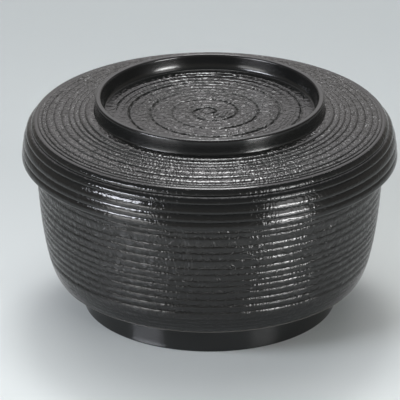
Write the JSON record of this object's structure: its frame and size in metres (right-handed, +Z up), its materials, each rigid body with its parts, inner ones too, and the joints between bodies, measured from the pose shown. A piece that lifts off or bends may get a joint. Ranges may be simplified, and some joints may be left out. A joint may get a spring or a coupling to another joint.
{
  "type": "lidded rice bowl",
  "caption": "Round black lacquered rice bowl on a foot ring, with an overlapping ribbed lid that lifts off by a low grip ring.",
  "frame": {"origin": "on the table, under the middle of the foot ring", "axes": "+Z up along the turning axis, +X and +Y two square directions across the bowl"},
  "size_m": [0.1136, 0.1136, 0.067],
  "materials": {
    "ribbed_lacquer": "black lacquer over turned ribs and a cloth-like grain, satin gloss",
    "smooth_lacquer": "black lacquer, smooth, full gloss"
  },
  "bodies": {
    "bowl": {"bowl_shell": "ribbed_lacquer", "foot_ring": "smooth_lacquer"},
    "lid": {"lid_shell": "ribbed_lacquer", "grip_ring": "smooth_lacquer"}
  },
  "joints": [
    {"name": "lid_lift", "type": "slide", "parent": "bowl", "child": "lid", "axis": [0, 0, 1], "range_m": [0, 0.08]}
  ]
}
